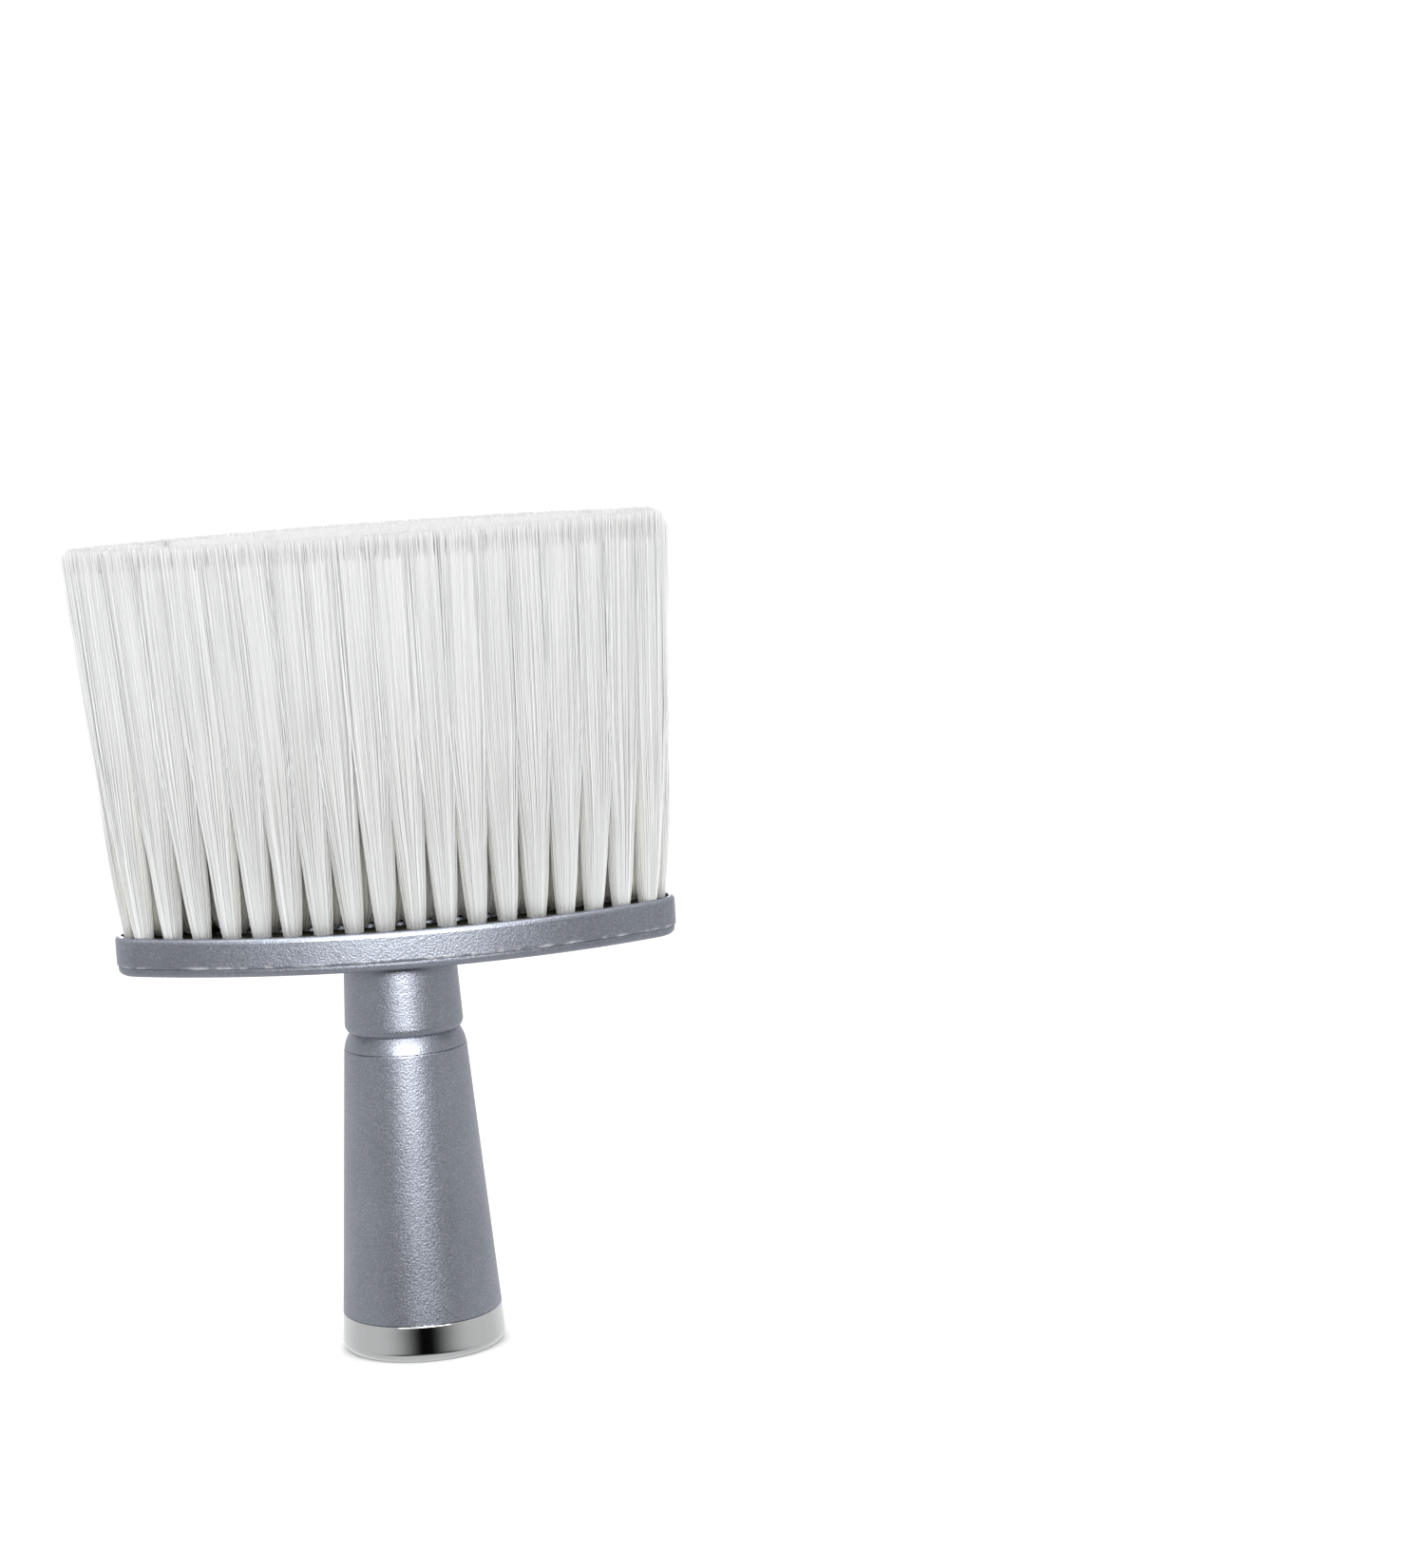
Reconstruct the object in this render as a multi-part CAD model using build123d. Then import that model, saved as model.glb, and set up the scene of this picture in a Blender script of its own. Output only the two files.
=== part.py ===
from build123d import *
from math import atan2, cos, degrees, radians, sin
import os

# Neck duster brush, standing on its end cap. Millimetres, +Z up, origin at the
# centre of the cap's underside. The long axis of the head lies along X.

# Heights of the joints between the main pieces
CAP_SEAM_Z = 7.9
COLLAR_BASE_Z = 66.0
GROOVE_Z = 69.4
COVER_BASE_Z = 85.85
PARTING_Z = 87.7
RIM_TOP_Z = 94.2
TIP_Z = 176.0

# Head outline: two long arcs joined by small end arcs
HEAD_HALF_LENGTH = 60.0
HEAD_HALF_DEPTH = 21.5
HEAD_END_RADIUS = 7.5

# Tuft block: rounded rim, sunk plate, and a shallow register underneath
RIM_TOP_FILLET = 1.0
RIM_BASE_FILLET = 0.6
PLATE_INSET = 1.2
PLATE_SINK = 0.4
REGISTER_INSET = 2.5
REGISTER_HEIGHT = 0.5
FIT_GAP = 0.05

# Head cover and neck
COVER_INSET = 0.3
COVER_FILLET = 1.4
NECK_TOP_RADIUS = 12.05
NECK_BASE_RADIUS = 12.75
NECK_LIP_HEIGHT = 2.1
NECK_LIP_BULGE = 0.35
GROOVE_RADIUS = 11.8

# Shoulder collar
COLLAR_RADIUS = 13.15
COLLAR_BULGE = 0.22

# Handle shell
HANDLE_TOP_RADIUS = 13.25
HANDLE_BASE_RADIUS = 17.2
HANDLE_TOP_FILLET = 0.5
SEAM_CHAMFER = 0.2
WALL = 2.2
WEB_THICKNESS = 4.0
SPIGOT_RADIUS = 8.2
SPIGOT_DEPTH = 5.0

# End cap
CAP_RADIUS = 17.65
CAP_FILLET = 2.0
CAP_FLOOR = 2.0
PLUG_LENGTH = 9.0
PLUG_WALL = 1.6
BEAD_RADIUS = 0.4
BEAD_DEPTH = 6.0

# M5 fastener: pan-head screw, washers and brass insert
SCREW_RADIUS = 2.5
SCREW_LENGTH = 22.5
SCREW_HEAD_RADIUS = 4.6
SCREW_HEAD_HEIGHT = 3.2
SCREW_HEAD_FILLET = 1.3
SCREW_END_CHAMFER = 0.5
CROSS_LENGTH = 5.0
CROSS_WIDTH = 1.1
CROSS_DEPTH = 1.9
SCREW_HOLE_RADIUS = 2.75
WASHER_RADIUS = 5.0
WASHER_THICKNESS = 1.0
LOCK_WASHER_RADIUS = 4.4
LOCK_WASHER_THICKNESS = 1.2
LOCK_WASHER_SLIT = 1.0
LOCK_WASHER_SLIT_TILT = 20.0
WASHER_BORE = 2.6
INSERT_RADIUS = 3.6
INSERT_LENGTH = 9.0
INSERT_GROOVE = 0.4
INSERT_BANDS = 3

# Tufts: round bundles in blind holes, spreading towards the trimmed tips
TUFT_RADIUS = 2.15
TUFT_TIP_RADIUS = 2.9
TUFT_CLEARANCE = 0.06
HOLE_DEPTH = 4.6
SPREAD_X = 1.104
SPREAD_Y = 1.22

# Tuft layout: an outer ring, a second ring, inner rows and single tufts on the X axis
RING_HALF_DEPTH = 15.6
RING_RADIUS = 133.5
RING_STEP = 6.2
TUFT_PITCH = 6.5
OUTER_TUFTS_PER_SIDE = 18
SECOND_TUFTS_PER_SIDE = 13
INNER_TUFTS_PER_ROW = 6
INNER_ROW_Y = 3.1
END_TUFT_X = 56.0
AXIS_TUFTS_X = (22.5, 29.0, 43.0, 49.5)

# Anchor staples at the floors of the tuft holes
ANCHOR_LENGTH = 5.2
ANCHOR_WIDTH = 0.45
ANCHOR_HEIGHT = 1.3
ANCHOR_GAP = 0.04
ANCHOR_TURN_X = 54.0

PLATE_Z = RIM_TOP_Z - PLATE_SINK
HOLE_FLOOR_Z = PLATE_Z - HOLE_DEPTH
WEB_BASE_Z = COLLAR_BASE_Z - WEB_THICKNESS
NECK_BORE_TOP_Z = GROOVE_Z + SPIGOT_DEPTH
UP = Align.MIN


# Basic shapes --------------------------------------------------------------


def lens_face(half_length, half_depth, end_radius):
    """Lens-shaped face: long arcs at front and back, tangent to round ends."""
    straight = half_length - end_radius
    rise = half_depth - end_radius
    radius = (straight**2 + half_depth**2 - end_radius**2) / (2 * rise)
    angle = atan2(straight, radius - half_depth)
    x = radius * sin(angle)
    y = radius * cos(angle) - (radius - half_depth)
    corners = [(-x, -y), (x, -y), (x, y), (-x, y)]
    middles = [(0, -half_depth), (half_length, 0), (0, half_depth), (-half_length, 0)]
    arcs = []
    for index, middle in enumerate(middles):
        arcs.append(ThreePointArc(corners[index], middle, corners[(index + 1) % 4]))
    return Face(Wire(arcs))


def lens_slab(inset, low, high):
    """Slab of the head outline, moved inwards by inset, between two heights."""
    face = lens_face(
        HEAD_HALF_LENGTH - inset, HEAD_HALF_DEPTH - inset, HEAD_END_RADIUS - inset
    )
    return Pos(0, 0, low) * extrude(face, high - low, dir=(0, 0, 1))


def rod(radius, low, high, x=0.0, y=0.0):
    """Upright cylinder between two heights."""
    return Pos(x, y, low) * Cylinder(radius, high - low, align=(Align.CENTER, Align.CENTER, UP))


def lines(*points):
    """Straight edges through (radius, height) points."""
    spots = [(radius, 0, height) for radius, height in points]
    return [Line(start, end) for start, end in zip(spots, spots[1:])]


def arc(start, middle, end):
    """Arc edge through three (radius, height) points."""
    spots = [(radius, 0, height) for radius, height in (start, middle, end)]
    return ThreePointArc(*spots)


def turned(edges):
    """Solid of revolution about Z from a closed chain of profile edges."""
    return revolve(Face(Wire(edges)), Axis.Z)


def edges_at(solid, height):
    """Edges that lie wholly at one height."""
    return solid.edges().filter_by_position(Axis.Z, height - 0.01, height + 0.01)


def bulged_middle(start, end, bulge):
    """Point half way between two (radius, height) points, pushed outwards."""
    return ((start[0] + end[0]) / 2 + bulge, (start[1] + end[1]) / 2)


# Tuft layout ---------------------------------------------------------------


def arc_places(ring, count):
    """Tuft centres along the front and back arcs of one ring, spread evenly about X = 0."""
    radius = RING_RADIUS - RING_STEP * ring
    centre_y = RING_RADIUS - RING_HALF_DEPTH
    step = TUFT_PITCH / RING_RADIUS
    front = []
    for index in range(count):
        angle = (index - (count - 1) / 2) * step
        front.append((radius * sin(angle), centre_y - radius * cos(angle)))
    back = [(x, -y) for x, y in front]
    return front, back


def inner_places():
    """Tuft centres of the two short straight rows inside the second ring."""
    places = []
    for y in (-INNER_ROW_Y, INNER_ROW_Y):
        for index in range(INNER_TUFTS_PER_ROW):
            places.append(((index - (INNER_TUFTS_PER_ROW - 1) / 2) * TUFT_PITCH, y))
    return places


def tuft_groups():
    """Every tuft centre, by the name of its node."""
    outer_front, outer_back = arc_places(0, OUTER_TUFTS_PER_SIDE)
    second_front, second_back = arc_places(1, SECOND_TUFTS_PER_SIDE)
    groups = {}
    for side, places in (("front", outer_front), ("back", outer_back)):
        for number, place in enumerate(places, 1):
            groups[f"outer_tuft_{side}_{number:02d}"] = [place]
    groups["outer_tuft_left_end"] = [(-END_TUFT_X, 0.0)]
    groups["outer_tuft_right_end"] = [(END_TUFT_X, 0.0)]
    groups["second_ring_tufts"] = second_front + second_back
    groups["inner_row_tufts"] = inner_places()
    groups["centre_line_tufts"] = [(sign * x, 0.0) for x in AXIS_TUFTS_X for sign in (-1, 1)]
    return groups


# Tufts and anchors ---------------------------------------------------------


def tuft(x, y):
    """One bundle: upright in its hole, then a slim leaning cone to the trim height."""
    root_z = HOLE_FLOOR_Z + ANCHOR_HEIGHT + ANCHOR_GAP
    stem = rod(TUFT_RADIUS, root_z, PLATE_Z, x, y)
    root = Pos(x, y, PLATE_Z) * Circle(TUFT_RADIUS)
    tip = Pos(x * SPREAD_X, y * SPREAD_Y, TIP_Z) * Circle(TUFT_TIP_RADIUS)
    return stem + loft([root, tip], ruled=True)


def anchor(x, y, gap=0.0):
    """Flat staple across the floor of one hole, with its ends bitten into the wall."""
    bar = Box(
        ANCHOR_LENGTH + 2 * gap,
        ANCHOR_WIDTH + 2 * gap,
        ANCHOR_HEIGHT + gap,
        align=(Align.CENTER, Align.CENTER, UP),
    )
    turn = degrees(atan2(y, x)) if abs(x) > ANCHOR_TURN_X else 90.0
    return Pos(x, y, HOLE_FLOOR_Z) * Rot(0, 0, turn) * bar


# Head ----------------------------------------------------------------------


def tuft_block(places):
    """Upper part of the head: a thick plate with a raised rim and blind tuft holes."""
    block = lens_slab(0.0, PARTING_Z, RIM_TOP_Z)
    block = fillet(edges_at(block, RIM_TOP_Z), RIM_TOP_FILLET)
    block = fillet(edges_at(block, PARTING_Z), RIM_BASE_FILLET)
    block -= lens_slab(PLATE_INSET, PLATE_Z, RIM_TOP_Z + 1)
    register_top = PARTING_Z + REGISTER_HEIGHT + FIT_GAP
    block -= lens_slab(REGISTER_INSET - FIT_GAP, PARTING_Z - 1, register_top)
    holes = []
    for x, y in places:
        holes.append(rod(TUFT_RADIUS + TUFT_CLEARANCE, HOLE_FLOOR_Z, RIM_TOP_Z + 1, x, y))
        holes.append(anchor(x, y, ANCHOR_GAP / 2))
    return block.cut(*holes)


def neck_profile():
    """Outside of the neck: a slight taper that ends in a rounded lip over the groove."""
    lip_top = (NECK_BASE_RADIUS, GROOVE_Z + NECK_LIP_HEIGHT)
    lip_end = (GROOVE_RADIUS, GROOVE_Z)
    return [
        *lines((0, GROOVE_Z), lip_end),
        arc(lip_end, bulged_middle(lip_end, lip_top, NECK_LIP_BULGE), lip_top),
        *lines(lip_top, (NECK_TOP_RADIUS, COVER_BASE_Z), (NECK_TOP_RADIUS, PARTING_Z)),
        *lines((NECK_TOP_RADIUS, PARTING_Z), (0, PARTING_Z), (0, GROOVE_Z)),
    ]


def head_cover():
    """Lower shell of the head in one piece with the neck, bored for insert and spigot."""
    cover = lens_slab(COVER_INSET, COVER_BASE_Z, PARTING_Z)
    cover = fillet(edges_at(cover, COVER_BASE_Z), COVER_FILLET)
    cover += lens_slab(REGISTER_INSET, PARTING_Z, PARTING_Z + REGISTER_HEIGHT)
    cover += turned(neck_profile())
    cover -= rod(SPIGOT_RADIUS + FIT_GAP, GROOVE_Z - 1, NECK_BORE_TOP_Z)
    insert_top = NECK_BORE_TOP_Z + INSERT_LENGTH + FIT_GAP
    return cover - rod(INSERT_RADIUS + FIT_GAP, NECK_BORE_TOP_Z - 1, insert_top)


def neck_insert():
    """Brass threaded insert with grooved bands that grip the neck."""
    insert = rod(INSERT_RADIUS, NECK_BORE_TOP_Z, NECK_BORE_TOP_Z + INSERT_LENGTH)
    insert -= rod(SCREW_RADIUS + FIT_GAP, NECK_BORE_TOP_Z - 1, NECK_BORE_TOP_Z + INSERT_LENGTH + 1)
    band = INSERT_LENGTH / (2 * INSERT_BANDS - 1)
    for index in range(INSERT_BANDS - 1):
        low = NECK_BORE_TOP_Z + band * (2 * index + 1)
        ring = rod(INSERT_RADIUS + 1, low, low + band)
        insert -= ring - rod(INSERT_RADIUS - INSERT_GROOVE, low, low + band)
    return insert


# Handle --------------------------------------------------------------------


def shoulder_collar():
    """Convex ring between the groove under the neck and the top of the handle."""
    top = (GROOVE_RADIUS, GROOVE_Z)
    base = (COLLAR_RADIUS, COLLAR_BASE_Z)
    bore = SPIGOT_RADIUS + FIT_GAP
    edges = [
        *lines(top, (bore, GROOVE_Z), (bore, COLLAR_BASE_Z), base),
        arc(base, bulged_middle(base, top, COLLAR_BULGE), top),
    ]
    return turned(edges)


def handle_bore_radius(height):
    """Inside radius of the handle shell, parallel to its outside."""
    share = (height - CAP_SEAM_Z) / (COLLAR_BASE_Z - CAP_SEAM_Z)
    outside = HANDLE_BASE_RADIUS + (HANDLE_TOP_RADIUS - HANDLE_BASE_RADIUS) * share
    return outside - WALL


def bead(gap=0.0):
    """Snap bead round the cap's plug, or with a gap the groove that it clicks into."""
    height = CAP_SEAM_Z + BEAD_DEPTH
    return Pos(0, 0, height) * Torus(handle_bore_radius(height) - FIT_GAP, BEAD_RADIUS + gap)


def handle_shell():
    """Hollow cone with a web and a spigot at its top."""
    shoulder_z = COLLAR_BASE_Z - HANDLE_TOP_FILLET
    lip = (HANDLE_TOP_RADIUS - HANDLE_TOP_FILLET, COLLAR_BASE_Z)
    shoulder = (HANDLE_TOP_RADIUS, shoulder_z)
    fillet_middle = (
        HANDLE_TOP_RADIUS - HANDLE_TOP_FILLET * (1 - sin(radians(45))),
        COLLAR_BASE_Z - HANDLE_TOP_FILLET * (1 - cos(radians(45))),
    )
    seam_out = (HANDLE_BASE_RADIUS, CAP_SEAM_Z + SEAM_CHAMFER)
    seam_in = (HANDLE_BASE_RADIUS - SEAM_CHAMFER, CAP_SEAM_Z)
    bore_base = (handle_bore_radius(CAP_SEAM_Z), CAP_SEAM_Z)
    bore_top = (handle_bore_radius(WEB_BASE_Z), WEB_BASE_Z)
    shell = turned([
        arc(lip, fillet_middle, shoulder),
        *lines(shoulder, seam_out, seam_in, bore_base, bore_top),
        *lines(bore_top, (0, WEB_BASE_Z), (0, COLLAR_BASE_Z), lip),
    ])
    shell += rod(SPIGOT_RADIUS, COLLAR_BASE_Z, NECK_BORE_TOP_Z - FIT_GAP)
    shell -= rod(SCREW_HOLE_RADIUS, WEB_BASE_Z - 1, NECK_BORE_TOP_Z + 1)
    return shell - bead(FIT_GAP)


def chrome_end_cap():
    """Plated cap: a band that carries on the handle's taper, and a plug inside it."""
    corner = (CAP_RADIUS, CAP_FILLET)
    foot = (CAP_RADIUS - CAP_FILLET, 0)
    fillet_middle = (
        CAP_RADIUS - CAP_FILLET * (1 - cos(radians(45))),
        CAP_FILLET * (1 - sin(radians(45))),
    )
    seam_z = CAP_SEAM_Z - FIT_GAP
    plug_top_z = CAP_SEAM_Z + PLUG_LENGTH
    plug_base = handle_bore_radius(CAP_SEAM_Z) - FIT_GAP
    plug_top = handle_bore_radius(plug_top_z) - FIT_GAP
    inside = plug_top - PLUG_WALL
    edges = [
        *lines((0, 0), foot),
        arc(foot, fillet_middle, corner),
        *lines(corner, (HANDLE_BASE_RADIUS, seam_z - SEAM_CHAMFER)),
        *lines((HANDLE_BASE_RADIUS, seam_z - SEAM_CHAMFER), (HANDLE_BASE_RADIUS - SEAM_CHAMFER, seam_z)),
        *lines((HANDLE_BASE_RADIUS - SEAM_CHAMFER, seam_z), (plug_base, seam_z), (plug_top, plug_top_z)),
        *lines((plug_top, plug_top_z), (inside, plug_top_z), (inside, CAP_FLOOR), (0, CAP_FLOOR), (0, 0)),
    ]
    return turned(edges) + bead()


# Fasteners -----------------------------------------------------------------


def flat_washer():
    """Flat washer against the underside of the handle's web."""
    low = WEB_BASE_Z - WASHER_THICKNESS
    return rod(WASHER_RADIUS, low, WEB_BASE_Z) - rod(WASHER_BORE, low - 1, WEB_BASE_Z + 1)


def lock_washer():
    """Split spring washer, pressed flat between the screw head and the flat washer."""
    top = WEB_BASE_Z - WASHER_THICKNESS
    low = top - LOCK_WASHER_THICKNESS
    ring = rod(LOCK_WASHER_RADIUS, low, top) - rod(WASHER_BORE, low - 1, top + 1)
    slit = Box(LOCK_WASHER_RADIUS * 2, LOCK_WASHER_SLIT, LOCK_WASHER_THICKNESS * 2)
    return ring - Pos(LOCK_WASHER_RADIUS, 0, low) * Rot(LOCK_WASHER_SLIT_TILT, 0, 0) * slit


def handle_screw():
    """Pan-head machine screw, driven from inside the open handle."""
    seat = WEB_BASE_Z - WASHER_THICKNESS - LOCK_WASHER_THICKNESS
    low = seat - SCREW_HEAD_HEIGHT
    head = rod(SCREW_HEAD_RADIUS, low, seat)
    head = fillet(edges_at(head, low), SCREW_HEAD_FILLET)
    screw = head + rod(SCREW_RADIUS, seat, seat + SCREW_LENGTH)
    screw = chamfer(edges_at(screw, seat + SCREW_LENGTH), SCREW_END_CHAMFER)
    for turn in (0, 90):
        screw -= Pos(0, 0, low) * Rot(0, 0, turn) * Box(CROSS_LENGTH, CROSS_WIDTH, CROSS_DEPTH * 2)
    return screw


# Whole brush ---------------------------------------------------------------


def anchor_groups(groups):
    """Anchors share one node for each ring or row of tufts."""
    outer = [place for name, places in groups.items() if name.startswith("outer") for place in places]
    return {
        "outer_ring_anchors": outer,
        "second_ring_anchors": groups["second_ring_tufts"],
        "inner_row_anchors": groups["inner_row_tufts"],
        "centre_line_anchors": groups["centre_line_tufts"],
    }


def brush():
    """All the pieces of the brush, by node name."""
    groups = tuft_groups()
    places = [place for group in groups.values() for place in group]
    pieces = {
        "tuft_block": tuft_block(places),
        "head_cover": head_cover(),
        "neck_insert": neck_insert(),
        "shoulder_collar": shoulder_collar(),
        "handle_shell": handle_shell(),
        "handle_screw": handle_screw(),
        "flat_washer": flat_washer(),
        "lock_washer": lock_washer(),
        "chrome_end_cap": chrome_end_cap(),
    }
    for name, group in groups.items():
        pieces[name] = Compound([tuft(x, y).solid() for x, y in group])
    for name, group in anchor_groups(groups).items():
        pieces[name] = Compound([anchor(x, y).solid() for x, y in group])
    return pieces


os.makedirs("parts", exist_ok=True)
for node, shape in brush().items():
    export_step(shape, f"parts/{node}.step")
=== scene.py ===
from math import pi, radians

import bpy
import numpy as np
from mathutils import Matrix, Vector


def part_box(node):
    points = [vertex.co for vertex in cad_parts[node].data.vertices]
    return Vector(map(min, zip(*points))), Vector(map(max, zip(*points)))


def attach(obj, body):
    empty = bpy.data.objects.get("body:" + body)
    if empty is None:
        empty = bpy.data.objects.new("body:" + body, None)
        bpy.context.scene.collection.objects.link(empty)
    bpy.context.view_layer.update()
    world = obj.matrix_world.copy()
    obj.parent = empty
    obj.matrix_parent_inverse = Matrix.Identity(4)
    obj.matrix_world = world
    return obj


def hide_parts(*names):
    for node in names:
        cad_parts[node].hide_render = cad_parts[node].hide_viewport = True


# Looks of the neck duster brush: bristles made fibre by fibre round the tufts of the CAD
# frame, painted, plated and metal finishes, a pale studio and the camera. Sizes are in metres,
# unless a comment says millimetres.

MM = 0.001

# Camera: a long lens in front of the brush, which stands left of the middle of the frame
CAMERA_PLACE = (-0.0341, -0.8298, 0.2350)
CAMERA_TURN = (81.99, 3.09, -7.56)
LENS_MM = 89.87
SENSOR_MM = 36.0
CAMERA_CLIP = (0.05, 20.0)

# How deep the plate that the tufts stand in lies under the rim of the tuft block
PLATE_SINK = 0.4 * MM

# Reading tufts from the CAD frame: how far apart two points of one tuft's end can be, at the
# root and at the wider tip, how flat an end is, and how far off the middle a back row starts
ROOT_MERGE = 5.0 * MM
TIP_MERGE = 6.3 * MM
END_TOLERANCE = 0.01 * MM
ROW_TOLERANCE = 0.1 * MM

# Fibres: how many, their heights over the plate in millimetres, and their sizes. Each prism
# is turned further than the one before it by a step in radians.
FIBRES_PER_TUFT = 520
FIBRE_SIDES = 3
FIBRE_HEIGHTS = (-3.0, 0.0, 1.5, 4.0, 9.0, 16.0, 26.0, 42.0, 62.0, 81.4)
FIBRE_RADIUS = 0.075 * MM
FIBRE_TIP_RADIUS = 0.05 * MM
FIBRE_TURN_STEP = 1.7

# Bundles: each is round at the root and swells, by a width and over a height in millimetres.
# Between two heights in millimetres it turns into a square one that meets its neighbours.
ROOT_RADIUS = 1.95 * MM
OUTER_SWELL = (1.65 * MM, 13.0)
INNER_SWELL = (3.2 * MM, 1.6)
SQUARING_HEIGHTS = (14.0, 42.0)
TIP_HALF_WIDTH = 4.2 * MM
TIP_REACH_INWARD = 3.6 * MM
TIP_REACH_OUTWARD = 2.9 * MM

# How the bundles and their fibres stray. The belly of a bundle strays half as far in Y.
TIP_SCATTER = 0.3 * MM
TIP_LEAN_POWER = 1.3
FIBRE_BOW = 0.2 * MM
TUFT_TIP_DRIFT = 0.3 * MM
TUFT_DRIFT_POWER = 1.4
TUFT_BELLY_DRIFT = 0.3 * MM
BELLY_SHARE = (1, 0.5)
LENGTH_SCATTER = 0.7 * MM

# Steps that spread any number of points evenly over a square, and the seed of all draws
EVEN_STEPS = np.array([0.7548776662466927, 0.5698402909980532])
SEED = 27

# The trimmed edge: a little narrower than the CAD's, slightly tilted, with rounded corners
TIP_NARROWING = 0.981
TIP_SHIFT = -1.15 * MM
TOP_TILT = 0.0094
TOP_RAISE = 1.3 * MM
RIGHT_CORNER = 3.0 * MM
LEFT_CORNER = 1.2 * MM

# Cores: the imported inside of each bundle, which lets no light through. Heights over the plate
# in millimetres, and widths as shares of the bundle's.
CORE_SIDES = 16
CORE_HEIGHTS = (-3.0, 0.0, 1.5, 4.0, 9.0, 16.0, 26.0, 42.0, 78.0, 80.3)
CORE_WIDTH = 0.95
CORE_INWARD = 0.95
CORE_OUTWARD = 0.7
OUTER_CORE_TOP_SHARE = 0.5
INNER_CORE_TOP_SHARE = 0.98

# Painted light: nylon is made whiter over the last stretch to the tips, most of all inside the
# ring, lifting the shade there. The cores carry painted shade, a dark olive cream at the root,
# which has wholly turned white at a height over the plate.
TIP_LIGHT_LENGTH = 7.0 * MM
OUTER_TIP_LIGHT = 0.88
INNER_TIP_LIGHT = 0.965
CORE_SHADE_TOP = 55 * MM

# Paint: painted shade darkens the plate where it faces up, and fades out between two heights over
# it.
# Just over the parting line a painted glint brightens the paint in patches, which fades out in the
# same way.
PLATE_SHADE_FADE = (0.05 * MM, 0.2 * MM)
FACING_UP = (0.9, 0.97)
SEAM_GLINT_FADE = (0.45 * MM, 0.85 * MM)

# Studio: the floor, and the brightness of the white surroundings for soft light and in
# reflections, which the back adds to
FLOOR_RADIUS = 3.0
FILL_GLOW = 1.1
SIDE_GLOW = 0.78
BACK_GLOW = 0.2

# Dark opening in front, seen in reflections. All numbers are parts of a direction of length 1.
# Sideways it turns white between a start and an end. The first number of each holds near the
# level OPENING_Z, where the opening is narrow, and the second away from that level, and
# OPENING_CHANGE is how far away the one gives way to the other. Above, below and behind, it
# turns white between the two numbers given.
OPENING_Z = -0.07
OPENING_CHANGE = (0.05, 0.1)
OPENING_START = (0.08, 0.45)
OPENING_END = (0.95, 1.1)
WHITE_ABOVE = (0.45, 0.75)
WHITE_BELOW = (-0.4, -0.7)
WHITE_BEHIND = (-0.05, 0.05)
BACK_GLOW_SPREAD = (0.2, 0.9)

# Softboxes: where they stand, what they are aimed at, their sizes and their power in watts
KEY_SIDEWAYS = 0.003
KEY_DISTANCE = 0.36
KEY_HEIGHT = 0.19
KEY_AIM = (0, 0, 0.06)
KEY_SIZE = (0.17, 0.05)
KEY_WATTS = 2.1
TOP_PLACE = (0, -0.3, 0.75)
TOP_AIM = (0, 0, 0.1)
TOP_SIZE = (0.7, 0.5)
TOP_WATTS = 5.0
OVERHEAD_PLACE = (0, 0.01, 1.3)
OVERHEAD_AIM = (0, 0, 0)
OVERHEAD_SIZE = (1.2, 1.2)
OVERHEAD_WATTS = 5.0


# Small tools ---------------------------------------------------------------


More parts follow.
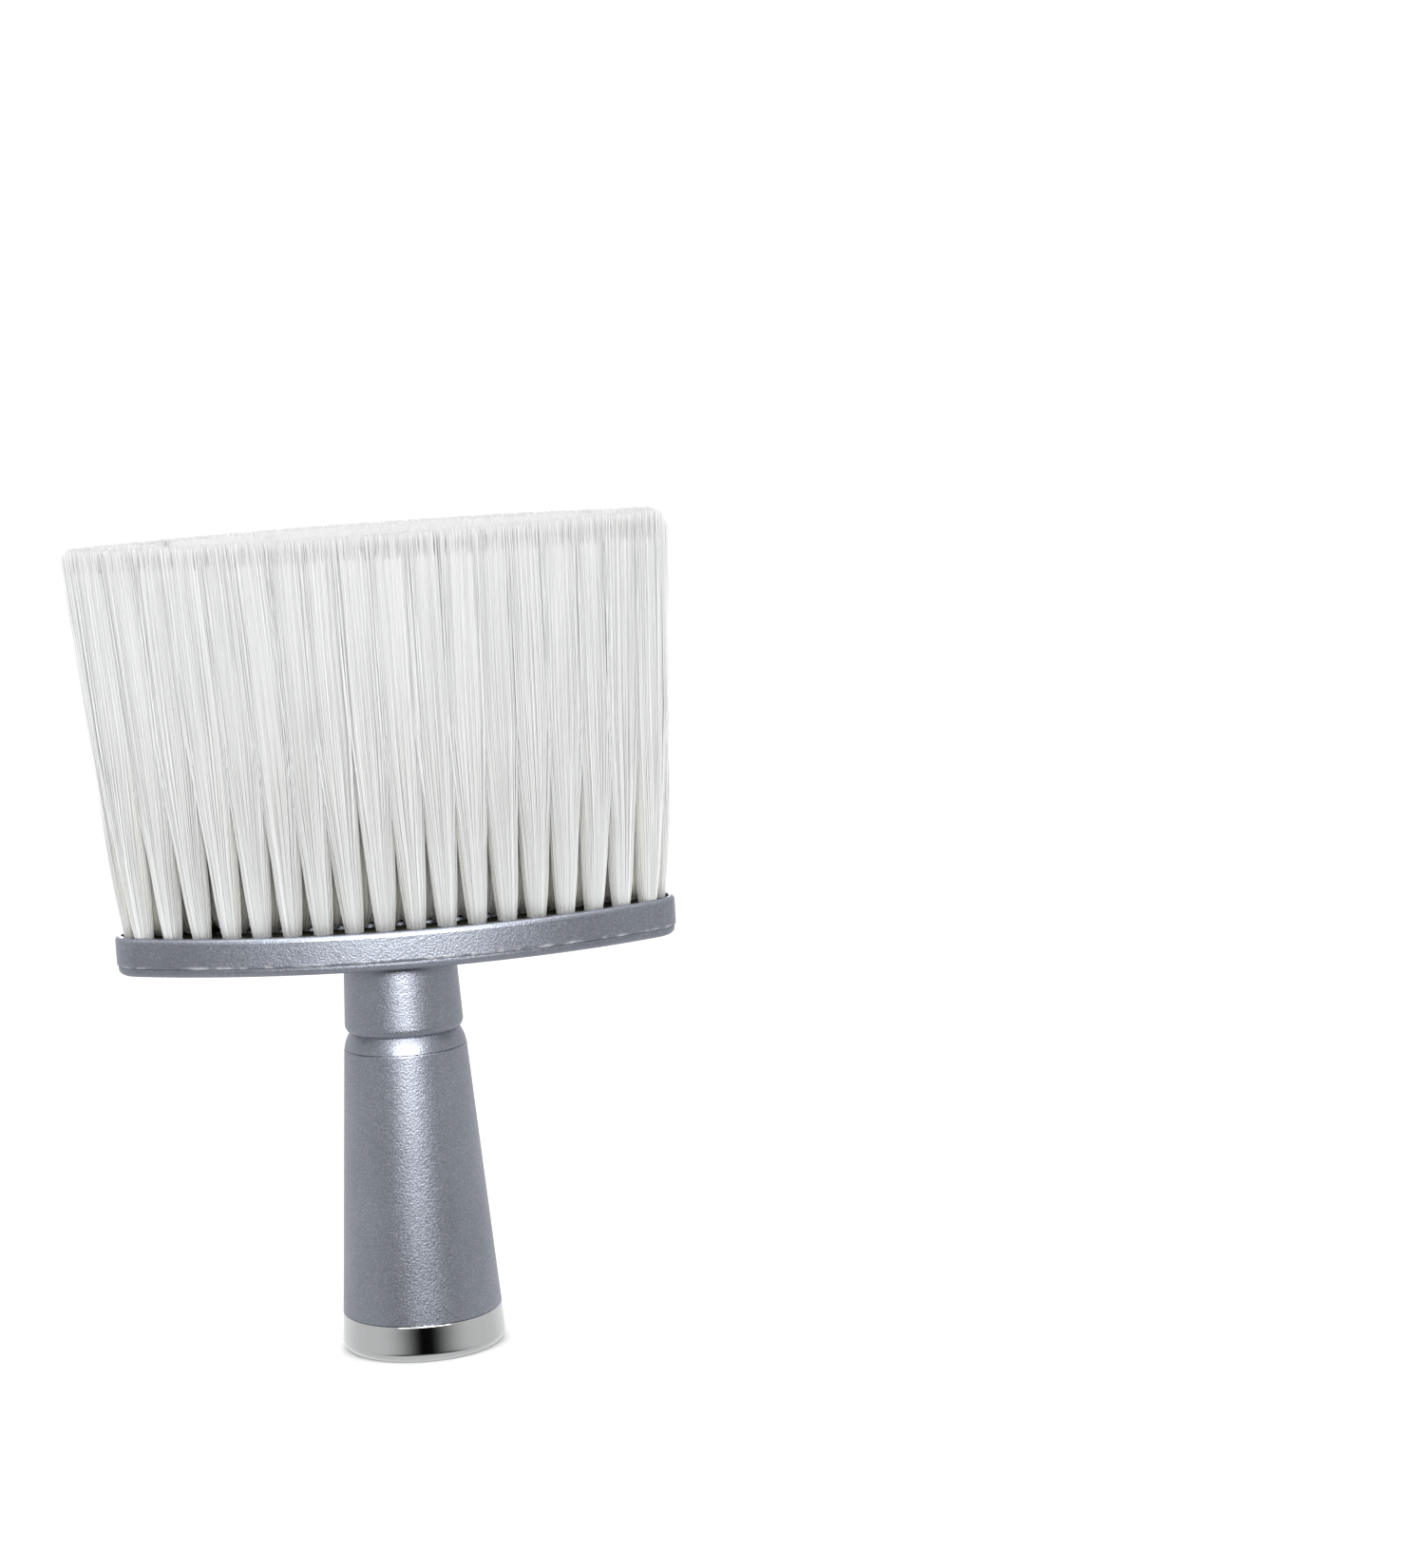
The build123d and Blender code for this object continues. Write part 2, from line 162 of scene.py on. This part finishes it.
class Nodes:
    """Short way to build the node tree of a material or world."""

    def __init__(self, owner):
        owner.use_nodes = True
        self.owner = owner
        self.tree = owner.node_tree
        self.shader = self.tree.nodes.get("Principled BSDF")

    def set(self, **values):
        for socket, value in values.items():
            self.shader.inputs[socket.replace("_", " ")].default_value = value

    def add(self, kind, **values):
        node = self.tree.nodes.new(kind)
        for key, value in values.items():
            setattr(node, key, value)
        return node

    def link(self, start, end):
        self.tree.links.new(start, end)

    def connect(self, value, target):
        """Links a socket to the target, or sets the target to a plain value."""
        if isinstance(value, bpy.types.NodeSocket):
            self.link(value, target)
        else:
            target.default_value = value

    def feed(self, socket, value):
        self.link(value, self.shader.inputs[socket])

    def place(self, stretch=(1.0, 1.0, 1.0)):
        """Object coordinates, stretched by a factor on each axis."""
        coordinates = self.add("ShaderNodeTexCoord")
        mapping = self.add("ShaderNodeMapping")
        mapping.inputs["Scale"].default_value = stretch
        self.link(coordinates.outputs["Object"], mapping.inputs["Vector"])
        return mapping.outputs["Vector"]

    def split(self, vector):
        """The X, Y and Z outputs of a vector."""
        node = self.add("ShaderNodeSeparateXYZ")
        self.link(vector, node.inputs["Vector"])
        return [node.outputs[axis] for axis in "XYZ"]

    def noise(self, scale, detail=2.0, stretch=(1.0, 1.0, 1.0)):
        node = self.add("ShaderNodeTexNoise")
        node.inputs["Scale"].default_value = scale
        node.inputs["Detail"].default_value = detail
        self.link(self.place(stretch), node.inputs["Vector"])
        return node.outputs["Fac"]

    def flakes(self, scale):
        """A random value for each cell of a fine pattern of flakes."""
        node = self.add("ShaderNodeTexVoronoi")
        node.inputs["Scale"].default_value = scale
        self.link(self.place(), node.inputs["Vector"])
        colour = self.add("ShaderNodeSeparateColor")
        self.link(node.outputs["Color"], colour.inputs["Color"])
        return colour.outputs["Red"]

    def ramp(self, value, stops):
        node = self.add("ShaderNodeValToRGB")
        elements = node.color_ramp.elements
        while len(elements) < len(stops):
            elements.new(0.5)
        for element, (position, colour) in zip(elements, stops):
            element.position = position
            element.color = (*colour, 1.0)
        self.link(value, node.inputs["Fac"])
        return node.outputs["Color"]

    def range(self, value, low, high, to_low, to_high, kind="LINEAR"):
        """A value mapped from one range to another, and held at its ends."""
        node = self.add("ShaderNodeMapRange", interpolation_type=kind)
        node.inputs["From Min"].default_value = low
        node.inputs["From Max"].default_value = high
        node.inputs["To Min"].default_value = to_low
        node.inputs["To Max"].default_value = to_high
        self.link(value, node.inputs["Value"])
        return node.outputs["Result"]

    def mix(self, share, first, second, blend="MIX"):
        node = self.add("ShaderNodeMix", data_type="RGBA", blend_type=blend)
        for socket, value in (("Factor", share), ("A", first), ("B", second)):
            self.connect(value, next(s for s in node.inputs if s.name == socket and s.enabled))
        return next(s for s in node.outputs if s.enabled)

    def math(self, operation, first, second=0.0):
        node = self.add("ShaderNodeMath", operation=operation)
        for target, value in zip(node.inputs, (first, second)):
            self.connect(value, target)
        return node.outputs["Value"]

    def bump(self, height, strength, distance):
        node = self.add("ShaderNodeBump")
        node.inputs["Strength"].default_value = strength
        node.inputs["Distance"].default_value = distance
        self.link(height, node.inputs["Height"])
        self.feed("Normal", node.outputs["Normal"])


def new_material(name):
    return Nodes(bpy.data.materials.new(name))


def paint_node(node, material):
    """Gives every slot of a CAD node's object the same material."""
    for slot in node.material_slots:
        slot.link = "OBJECT"
        slot.material = material


# Materials -----------------------------------------------------------------


def paint_tone(nodes):
    """Silver flakes in three close greys, in faint clouds."""
    flake_tone = nodes.ramp(
        nodes.flakes(4200),
        [(0.0, (0.25, 0.268, 0.31)), (0.8, (0.295, 0.315, 0.36)), (1.0, (0.38, 0.395, 0.44))],
    )
    cloud_tone = nodes.ramp(
        nodes.noise(60, 3),
        [(0.3, (0.92, 0.92, 0.92)), (0.7, (1.06, 1.06, 1.06))],
    )
    return nodes.mix(1.0, flake_tone, cloud_tone, "MULTIPLY")


def plate_painted_shade(nodes, height, plate_z):
    """Share of painted shade at each place, 1 on the sunk plate and 0 above it, and the dark,
    mottled colour that stands for the shade.
    """
    normal = nodes.add("ShaderNodeNewGeometry").outputs["Normal"]
    full, none = PLATE_SHADE_FADE
    low = nodes.range(height, plate_z + full, plate_z + none, 1, 0)
    flat = nodes.range(nodes.split(normal)[2], *FACING_UP, 0, 1)
    # Painted shade: a dark, mottled colour for the plate between the tufts
    plate_shade_tone = nodes.ramp(
        nodes.noise(900, 4),
        [(0.35, (0.025, 0.025, 0.018)), (0.7, (0.085, 0.082, 0.06))],
    )
    return nodes.math("MULTIPLY", low, flat), plate_shade_tone


def painted_seam_glint(nodes, height, seam_z):
    """Painted glint: bright patches just over the parting line."""
    full, none = SEAM_GLINT_FADE
    near_seam = nodes.range(height, seam_z + full, seam_z + none, 1, 0)
    patchy = nodes.range(nodes.noise(260, 3), 0.46, 0.62, 0, 1)
    return nodes.math("MULTIPLY", near_seam, patchy)


def silver_paint(plate_z=None, seam_z=None):
    """Silver paint with fine metal flakes. For the tuft block, given the heights of its plate
    and its parting line, with painted shade that darkens the plate between the tufts and a
    painted glint in patches along its lower edge."""
    nodes = new_material("silver_paint" if plate_z is None else "silver_paint_on_tuft_block")
    grain = nodes.noise(2400, 2)
    colour = paint_tone(nodes)
    rough = nodes.range(grain, 0.3, 0.7, 0.37, 0.48)
    metal = 0.95
    if plate_z is not None:
        height = nodes.split(nodes.place())[2]
        # Painted shade on the sunk plate between the tufts, which is also made rougher and not metal
        shaded_plate, plate_shade_tone = plate_painted_shade(nodes, height, plate_z)
        colour = nodes.mix(shaded_plate, colour, plate_shade_tone)
        # Painted glint: a pale grey in patches just over the parting line
        colour = nodes.mix(painted_seam_glint(nodes, height, seam_z), colour, (0.72, 0.74, 0.77, 1.0))
        rough = nodes.math("ADD", rough, nodes.math("MULTIPLY", shaded_plate, 0.5))
        unshaded = nodes.math("SUBTRACT", 1.0, shaded_plate)
        nodes.feed("Metallic", nodes.math("MULTIPLY", unshaded, metal))
    nodes.feed("Base Color", colour)
    nodes.feed("Roughness", rough)
    nodes.set(Metallic=metal, Specular_IOR_Level=0.0)
    nodes.bump(grain, 0.7, 0.095 * MM)
    return nodes.owner


def chrome_plate():
    """Bright plating with the faintest waviness and a few soft wipe marks."""
    nodes = new_material("chrome_plate")
    smear = nodes.noise(45, 4, (1, 1, 0.25))
    tone = nodes.ramp(smear, [(0.3, (0.56, 0.575, 0.58)), (0.7, (0.6, 0.612, 0.615))])
    nodes.feed("Base Color", tone)
    nodes.feed("Roughness", nodes.range(smear, 0.3, 0.75, 0.05, 0.12))
    nodes.set(Metallic=1.0)
    nodes.bump(nodes.noise(300, 2), 0.03, 0.02 * MM)
    return nodes.owner


def machined_metal(name, dark, light, scale):
    """Plain machined or drawn metal with fine lines round Z."""
    nodes = new_material(name)
    grain = nodes.noise(scale, 4, (1, 1, 18))
    nodes.feed("Base Color", nodes.ramp(grain, [(0.3, dark), (0.7, light)]))
    nodes.feed("Roughness", nodes.range(grain, 0.2, 0.8, 0.22, 0.42))
    nodes.set(Metallic=1.0)
    nodes.bump(grain, 0.2, 0.02 * MM)
    return nodes.owner


def painted_tip_light(nodes, tone, tip_z, tip_light_tone):
    """Painted light: mixes a tone towards a whiter one over the last stretch up to the trimmed
    tips, lifting the shade there.
    """
    height = nodes.split(nodes.place())[2]
    near_tip = nodes.range(height, tip_z - TIP_LIGHT_LENGTH, tip_z, 0, 1)
    return nodes.mix(near_tip, tone, (tip_light_tone, tip_light_tone, tip_light_tone, 1.0))


def nylon_fibre(name, tip_z, tip_light_tone):
    """White nylon filament, nearly even, with long faint streaks, and painted light that makes
    it whiter towards the cut ends.
    """
    nodes = new_material(name)
    streak = nodes.noise(700, 3, (1, 1, 0.03))
    tone = nodes.ramp(streak, [(0.3, (0.87, 0.877, 0.874)), (0.7, (0.885, 0.893, 0.89))])
    nodes.feed("Base Color", painted_tip_light(nodes, tone, tip_z, tip_light_tone))
    nodes.set(Roughness=0.5, IOR=1.5)
    return nodes.owner


def nylon_core(name, plate_z, tip_z, tip_light_tone):
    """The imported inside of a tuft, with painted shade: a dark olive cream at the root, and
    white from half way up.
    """
    nodes = new_material(name)
    height = nodes.split(nodes.place())[2]
    # Painted shade: dark olive cream at the root, lightening to white up the core
    tone = nodes.ramp(
        nodes.range(height, plate_z, plate_z + CORE_SHADE_TOP, 0, 1),
        [
            (0.0, (0.44, 0.42, 0.31)),
            (0.3, (0.70, 0.69, 0.60)),
            (0.7, (0.87, 0.87, 0.855)),
            (1.0, (0.88, 0.886, 0.883)),
        ],
    )
    streak = nodes.ramp(
        nodes.noise(900, 3, (1, 1, 0.03)),
        [(0.3, (0.96, 0.96, 0.955)), (0.7, (1.0, 1.0, 1.0))],
    )
    tone = nodes.mix(1.0, tone, streak, "MULTIPLY")
    nodes.feed("Base Color", painted_tip_light(nodes, tone, tip_z, tip_light_tone))
    nodes.set(Roughness=0.6)
    return nodes.owner


def paint_rigid_nodes(nodes, plate_z):
    """Finishes of the CAD nodes that are carried over as they are."""
    seam_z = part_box("tuft_block")[0].z
    paint_node(nodes["tuft_block"], silver_paint(plate_z, seam_z))
    paint = silver_paint()
    for painted in ("head_cover", "shoulder_collar", "handle_shell"):
        paint_node(nodes[painted], paint)
    paint_node(nodes["chrome_end_cap"], chrome_plate())
    steel = machined_metal("zinc_steel", (0.48, 0.49, 0.5), (0.62, 0.63, 0.65), 400)
    for fastener in ("handle_screw", "flat_washer", "lock_washer"):
        paint_node(nodes[fastener], steel)
    brass = machined_metal("brass_insert", (0.66, 0.48, 0.2), (0.8, 0.62, 0.3), 500)
    paint_node(nodes["neck_insert"], brass)
    wire = machined_metal("anchor_wire", (0.5, 0.5, 0.48), (0.64, 0.64, 0.62), 700)
    for anchors in (n for n in nodes if n.endswith("_anchors")):
        paint_node(nodes[anchors], wire)


# Tufts of the frame --------------------------------------------------------


def group_centres(points, merge):
    """Middles of the groups of points in a flat set, where a group is less than merge wide."""
    groups = []
    for point in points:
        for group in groups:
            if np.linalg.norm(group[0] - point) < merge:
                group.append(point)
                break
        else:
            groups.append([point])
    groups = [np.array(group) for group in groups]
    return [(group.min(axis=0) + group.max(axis=0)) / 2 for group in groups]


def front_row_first(centre):
    """Sorts places front row before back row, and left to right within a row."""
    return (centre[1] > ROW_TOLERANCE, centre[0])


def tuft_axes(node, plate_z):
    """Root and tip centres of each cone in a CAD tuft node, front to back and left to right."""
    mesh = node.data
    points = np.zeros(len(mesh.vertices) * 3)
    mesh.vertices.foreach_get("co", points)
    points = points.reshape(-1, 3)
    low = points[points[:, 2] < points[:, 2].min() + END_TOLERANCE]
    high = points[points[:, 2] > points[:, 2].max() - END_TOLERANCE]
    roots = sorted(group_centres(low, ROOT_MERGE), key=front_row_first)
    tips = sorted(group_centres(high, TIP_MERGE), key=front_row_first)
    for root, tip in zip(roots, tips):
        root[2] = plate_z
        tip[0] = tip[0] * TIP_NARROWING + TIP_SHIFT
    return list(zip(roots, tips))


def outward_directions(ring):
    """Outward normal of the closed ring of outer tufts at each of them, by tuft name."""

    half_length, half_depth, _ = np.abs([root for root, _ in ring.values()]).max(axis=0)

    def angle_round_ring(name):
        root = ring[name][0]
        return np.arctan2(root[1] / half_depth, root[0] / half_length)

    names = sorted(ring, key=angle_round_ring)
    found = {}
    for index, name in enumerate(names):
        before = ring[names[index - 1]][0]
        after = ring[names[(index + 1) % len(names)]][0]
        along = after - before
        normal = np.array([along[1], -along[0], 0.0])
        found[name] = normal / np.linalg.norm(normal)
    return found


# Shape of a bundle ---------------------------------------------------------


def smooth_share(values, low, high):
    """Smooth rise from 0 at low to 1 at high."""
    share = np.clip((values - low) / (high - low), 0, 1)
    return share**2 * (3 - 2 * share)


def disc_from_square(square):
    """Points of the square from -1 to 1 moved evenly into the unit disc."""
    a, b = square[:, 0], square[:, 1]
    wide = np.abs(a) > np.abs(b)
    radius = np.where(wide, a, b)
    ratio = np.divide(np.where(wide, b, a), radius, out=np.zeros(len(a)), where=radius != 0)
    angle = ratio * pi / 4
    near, far = radius * np.cos(angle), radius * np.sin(angle)
    return np.stack([np.where(wide, near, far), np.where(wide, far, near)], 1)


def bundle_lines(square, heights, root, tip, outward, drift, belly):
    """Lines from root to tip through places in a square: an array of lines × rings × XYZ."""
    is_outer = outward is not None
    out = outward[:2] if is_outer else np.array([0.0, 1.0])
    along = np.array([-out[1], out[0]])
    heights = np.array(heights)
    share = np.clip(heights * MM / (tip[2] - root[2]), 0, 1)
    swell, swell_height = OUTER_SWELL if is_outer else INNER_SWELL
    radius = ROOT_RADIUS + swell * (1 - np.exp(-np.clip(heights, 0, None) / swell_height))
    squaring = smooth_share(heights, *SQUARING_HEIGHTS)[None, :, None]
    reach_outward = TIP_REACH_OUTWARD if is_outer else TIP_REACH_INWARD
    reach = np.where(square[:, 1] > 0, reach_outward, TIP_REACH_INWARD)
    spread = square * np.stack([np.full(len(square), TIP_HALF_WIDTH), reach], 1)
    local = (1 - squaring) * disc_from_square(square)[:, None] * radius[None, :, None]
    local = local + squaring * spread[:, None]
    centre = root[None, :2] + (tip - root)[None, :2] * share[:, None]
    centre = centre + drift * (share**TUFT_DRIFT_POWER)[:, None]
    centre = centre + belly * np.sin(pi * share)[:, None]
    lines = np.zeros((len(square), len(heights), 3))
    lines[:, :, :2] = centre[None] + local[:, :, :1] * along + local[:, :, 1:] * out
    lines[:, :, 2] = root[2] + heights[None, :] * MM
    return lines


def trimmed_height(tips, ends):
    """How much higher or lower than the tufts' level each fibre is cut, from its tip's place."""
    left, right = ends
    rise = TOP_RAISE + TOP_TILT * tips[:, 0]
    for corner, inside in ((RIGHT_CORNER, right - tips[:, 0]), (LEFT_CORNER, tips[:, 0] - left)):
        reach = np.clip(corner - inside, 0, corner)
        rise = rise - (corner - np.sqrt(corner**2 - reach**2))
    return rise


def fibre_lines(root, tip, outward, ends, drift, belly, rng):
    """Centre lines of a tuft's fibres, spread evenly over the bundle, each straying a little."""
    count = FIBRES_PER_TUFT
    steps = np.arange(count)[:, None] * EVEN_STEPS + rng.uniform(0, 1, 2)
    square = 2 * (steps % 1) - 1
    fibres = bundle_lines(square, FIBRE_HEIGHTS, root, tip, outward, drift, belly)
    share = np.clip(np.array(FIBRE_HEIGHTS) * MM / (tip[2] - root[2]), 0, 1)
    lean = rng.normal(0, TIP_SCATTER, (count, 1, 2))
    bow = rng.normal(0, FIBRE_BOW, (count, 1, 2))
    fibres[:, :, :2] += lean * (share**TIP_LEAN_POWER)[None, :, None]
    fibres[:, :, :2] += bow * (np.sin(pi * share) * share)[None, :, None]
    fibres[:, -1, 2] = tip[2] + trimmed_height(fibres[:, -1], ends)
    fibres[:, -1, 2] -= np.abs(rng.normal(0, LENGTH_SCATTER, count))
    return fibres


def core_lines(root, tip, outward, drift, belly):
    """Lines down the outside of a tuft's core, set back on the outer side of an outer tuft."""
    is_outer = outward is not None
    turn = (np.arange(CORE_SIDES) + 0.5) * 2 * pi / CORE_SIDES
    rim = np.stack([np.cos(turn), np.sin(turn)], 1)
    rim = rim / np.abs(rim).max(axis=1, keepdims=True)
    depth = np.where((rim[:, 1] > 0) & is_outer, CORE_OUTWARD, CORE_INWARD)
    rim = rim * np.stack([np.full(CORE_SIDES, CORE_WIDTH), depth], 1)
    core = bundle_lines(rim, CORE_HEIGHTS, root, tip, outward, drift, belly)
    middle = core[:, -1].mean(axis=0)
    top_share = OUTER_CORE_TOP_SHARE if is_outer else INNER_CORE_TOP_SHARE
    core[:, -1] = middle + (core[:, -1] - middle) * top_share
    return core


# Meshes of the bristles ----------------------------------------------------


def prism_faces(count, rings, sides, first):
    """Side quads and end polygons of closed prisms whose points run prism, ring, side."""
    start = first + np.arange(count)[:, None, None, None] * rings * sides
    low = (np.arange(rings - 1) * sides)[None, :, None, None]
    side = np.arange(sides)[None, None, :, None]
    after = (side + 1) % sides
    corners = [low + side, low + after, low + after + sides, low + side + sides]
    quads = (start + np.concatenate(np.broadcast_arrays(*corners), axis=3)).reshape(-1, 4)
    bottom = np.arange(sides)[::-1]
    top = (rings - 1) * sides + np.arange(sides)
    ends = (start[:, :, 0] + np.stack([bottom, top])[None]).reshape(-1, sides)
    return quads, ends


def fibre_radii():
    """Radius of a fibre at each of its rings, thinner towards the tip."""
    share = np.clip(np.array(FIBRE_HEIGHTS) / FIBRE_HEIGHTS[-1], 0, 1)
    return FIBRE_RADIUS + (FIBRE_TIP_RADIUS - FIBRE_RADIUS) * share**2


def fibre_points(fibres):
    """Corners of the prisms round the fibres' centre lines, each prism turned differently."""
    turn = np.arange(FIBRE_SIDES) * 2 * pi / FIBRE_SIDES
    turn = turn[None] + (np.arange(len(fibres)) * FIBRE_TURN_STEP)[:, None]
    ring = np.stack([np.cos(turn), np.sin(turn)], 2)
    points = np.repeat(fibres[:, :, None, :], FIBRE_SIDES, axis=2)
    points[:, :, :, :2] += ring[:, None] * fibre_radii()[None, :, None, None]
    return points.reshape(-1, 3)


def tuft_mesh(name, fibres, core, materials):
    """One mesh of a tuft: flat-sided fibres in the first material, a smooth core in the second."""
    points = fibre_points(fibres)
    core_points = core.transpose(1, 0, 2).reshape(-1, 3)
    faces = [
        *prism_faces(len(fibres), len(FIBRE_HEIGHTS), FIBRE_SIDES, 0),
        *prism_faces(1, len(CORE_HEIGHTS), CORE_SIDES, len(points)),
    ]
    slots = [0, 0, 1, 1]
    sizes = np.concatenate([np.full(len(group), group.shape[1]) for group in faces])
    slot_of_face = np.concatenate([np.full(len(group), slot) for group, slot in zip(faces, slots)])
    mesh = bpy.data.meshes.new(name)
    mesh.vertices.add(len(points) + len(core_points))
    mesh.vertices.foreach_set("co", np.concatenate([points, core_points]).ravel())
    mesh.loops.add(int(sizes.sum()))
    mesh.loops.foreach_set("vertex_index", np.concatenate([group.ravel() for group in faces]))
    mesh.polygons.add(len(sizes))
    mesh.polygons.foreach_set("loop_start", np.cumsum(sizes) - sizes)
    mesh.update(calc_edges=True)
    mesh.polygons.foreach_set("use_smooth", slot_of_face == 1)
    mesh.polygons.foreach_set("material_index", slot_of_face)
    mesh.validate()
    for material in materials:
        mesh.materials.append(material)
    piece = bpy.data.objects.new(name, mesh)
    bpy.context.scene.collection.objects.link(piece)
    return piece


def nylon_pair(place, plate_z, tip_z, tip_light_tone):
    """Fibre and core materials for the outer or the inner tufts."""
    fibre = nylon_fibre(f"nylon_fibre_{place}", tip_z, tip_light_tone)
    return fibre, nylon_core(f"nylon_core_{place}", plate_z, tip_z, tip_light_tone)


def make_bristles(nodes, plate_z):
    """A piece of fibres for each tuft of the frame."""
    rng = np.random.default_rng(SEED)
    tip_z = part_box("second_ring_tufts")[1].z
    # The tip tones are painted light, whiter inside the ring.
    outer_materials = nylon_pair("outer", plate_z, tip_z, OUTER_TIP_LIGHT)
    inner_materials = nylon_pair("inner", plate_z, tip_z, INNER_TIP_LIGHT)
    names = sorted(n for n in nodes if n.startswith("outer_tuft") or n.endswith("_tufts"))
    axes = {name: tuft_axes(nodes[name], plate_z) for name in names}
    ring = {name: pairs[0] for name, pairs in axes.items() if name.startswith("outer")}
    outward = outward_directions(ring)
    across = [tip[0] for _, tip in ring.values()]
    ends = (min(across) - TIP_REACH_OUTWARD, max(across) + TIP_REACH_OUTWARD)
    for name in names:
        materials = outer_materials if name in ring else inner_materials
        for number, (root, tip) in enumerate(axes[name], 1):
            drift = rng.normal(0, TUFT_TIP_DRIFT, 2)
            belly = rng.normal(0, TUFT_BELLY_DRIFT, 2) * BELLY_SHARE
            fibres = fibre_lines(root, tip, outward.get(name), ends, drift, belly, rng)
            core = core_lines(root, tip, outward.get(name), drift, belly)
            label = f"{name}_fibres" if len(axes[name]) == 1 else f"{name}_fibres_{number:02d}"
            piece = tuft_mesh(label, fibres, core, materials)
            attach(piece, "root")
            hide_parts(name)


# Studio --------------------------------------------------------------------


def make_floor():
    """Large pale round floor, left out of reflections so that the plating mirrors the studio."""
    bpy.ops.mesh.primitive_circle_add(
        vertices=128, radius=FLOOR_RADIUS, fill_type="NGON", location=(0, 0, 0)
    )
    floor = bpy.context.object
    floor.name = "floor"
    nodes = new_material("pale_floor")
    tone = nodes.ramp(nodes.noise(3, 2), [(0.3, (0.955, 0.955, 0.955)), (0.7, (0.97, 0.97, 0.97))])
    nodes.feed("Base Color", tone)
    nodes.set(Roughness=0.9)
    floor.data.materials.append(nodes.owner)
    floor.visible_glossy = False


def mirrored_glow(nodes):
    """Brightness that reflections see in each direction: white with a dark opening in front."""

    def smooth(value, spread):
        return nodes.range(value, *spread, 0.0, 1.0, "SMOOTHSTEP")

    x, y, z = nodes.split(nodes.add("ShaderNodeTexCoord").outputs["Generated"])
    flat_square = nodes.math("ADD", nodes.math("MULTIPLY", x, x), nodes.math("MULTIPLY", y, y))
    flat = nodes.math("MAXIMUM", nodes.math("SQRT", flat_square), 0.001)
    sideways = nodes.math("DIVIDE", nodes.math("ABSOLUTE", x), flat)
    from_middle = nodes.math("ABSOLUTE", nodes.math("SUBTRACT", z, OPENING_Z))
    start = nodes.range(from_middle, *OPENING_CHANGE, *OPENING_START)
    end = nodes.range(from_middle, *OPENING_CHANGE, *OPENING_END)
    past_start = nodes.math("SUBTRACT", sideways, start)
    beside = smooth(nodes.math("DIVIDE", past_start, nodes.math("SUBTRACT", end, start)), (0.0, 1.0))
    white = nodes.math("MAXIMUM", beside, smooth(y, WHITE_BEHIND))
    white = nodes.math("MAXIMUM", white, smooth(z, WHITE_ABOVE))
    white = nodes.math("MAXIMUM", white, smooth(z, WHITE_BELOW))
    backlight = nodes.math("MULTIPLY", smooth(y, BACK_GLOW_SPREAD), BACK_GLOW)
    return nodes.math("ADD", nodes.math("MULTIPLY", white, SIDE_GLOW), backlight)


def make_world():
    """White studio all round, in which only reflections see the dark opening."""
    world = bpy.data.worlds.new("studio")
    bpy.context.scene.world = world
    nodes = Nodes(world)
    nodes.tree.nodes.clear()
    glossy = nodes.add("ShaderNodeLightPath").outputs["Is Glossy Ray"]
    mirrored = nodes.math("MULTIPLY", glossy, mirrored_glow(nodes))
    plain = nodes.math("MULTIPLY", nodes.math("SUBTRACT", 1.0, glossy), FILL_GLOW)
    glow = nodes.add("ShaderNodeBackground")
    glow.inputs["Color"].default_value = (1, 1, 1, 1)
    nodes.link(nodes.math("ADD", mirrored, plain), glow.inputs["Strength"])
    output = nodes.add("ShaderNodeOutputWorld")
    nodes.link(glow.outputs["Background"], output.inputs["Surface"])


def soft_light(name, place, aim, size, watts, only_sheen=True):
    """Rectangular softbox that shines from place towards aim, for highlights or for the rest."""
    data = bpy.data.lights.new(name, "AREA")
    data.shape = "RECTANGLE"
    data.size, data.size_y = size
    data.energy = watts
    lamp = bpy.data.objects.new(name, data)
    bpy.context.scene.collection.objects.link(lamp)
    lamp.location = place
    lamp.visible_camera = False
    lamp.visible_diffuse = not only_sheen
    lamp.visible_glossy = only_sheen
    direction = Vector(aim) - Vector(place)
    lamp.rotation_euler = direction.to_track_quat("-Z", "Y").to_euler()


def make_lights():
    """A near softbox at front and back, one high in front, and an even one overhead."""
    for name, side in (("front_softbox", -1), ("rear_softbox", 1)):
        place = (-side * KEY_SIDEWAYS, side * KEY_DISTANCE, KEY_HEIGHT)
        soft_light(name, place, KEY_AIM, KEY_SIZE, KEY_WATTS)
    soft_light("top_softbox", TOP_PLACE, TOP_AIM, TOP_SIZE, TOP_WATTS)
    overhead = (OVERHEAD_PLACE, OVERHEAD_AIM, OVERHEAD_SIZE, OVERHEAD_WATTS)
    soft_light("overhead_fill", *overhead, only_sheen=False)


def make_camera():
    """Camera with the place, turn and lens given above."""
    data = bpy.data.cameras.new("camera")
    data.lens = LENS_MM
    data.sensor_width = SENSOR_MM
    data.clip_start, data.clip_end = CAMERA_CLIP
    camera = bpy.data.objects.new("camera", data)
    bpy.context.scene.collection.objects.link(camera)
    camera.location = CAMERA_PLACE
    camera.rotation_euler = [radians(angle) for angle in CAMERA_TURN]
    bpy.context.scene.camera = camera


# Scene ---------------------------------------------------------------------


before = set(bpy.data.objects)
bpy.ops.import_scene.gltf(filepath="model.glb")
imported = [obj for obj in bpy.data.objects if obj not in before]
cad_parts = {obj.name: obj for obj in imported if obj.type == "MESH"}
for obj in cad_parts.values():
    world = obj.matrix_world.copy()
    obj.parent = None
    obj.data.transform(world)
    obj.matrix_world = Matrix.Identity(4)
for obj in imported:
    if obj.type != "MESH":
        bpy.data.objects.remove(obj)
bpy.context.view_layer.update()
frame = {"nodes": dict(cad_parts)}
plate_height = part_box("tuft_block")[1].z - PLATE_SINK
paint_rigid_nodes(frame["nodes"], plate_height)
make_bristles(frame["nodes"], plate_height)
make_floor()
make_world()
make_lights()
make_camera()
bpy.context.scene.view_settings.view_transform = "Standard"
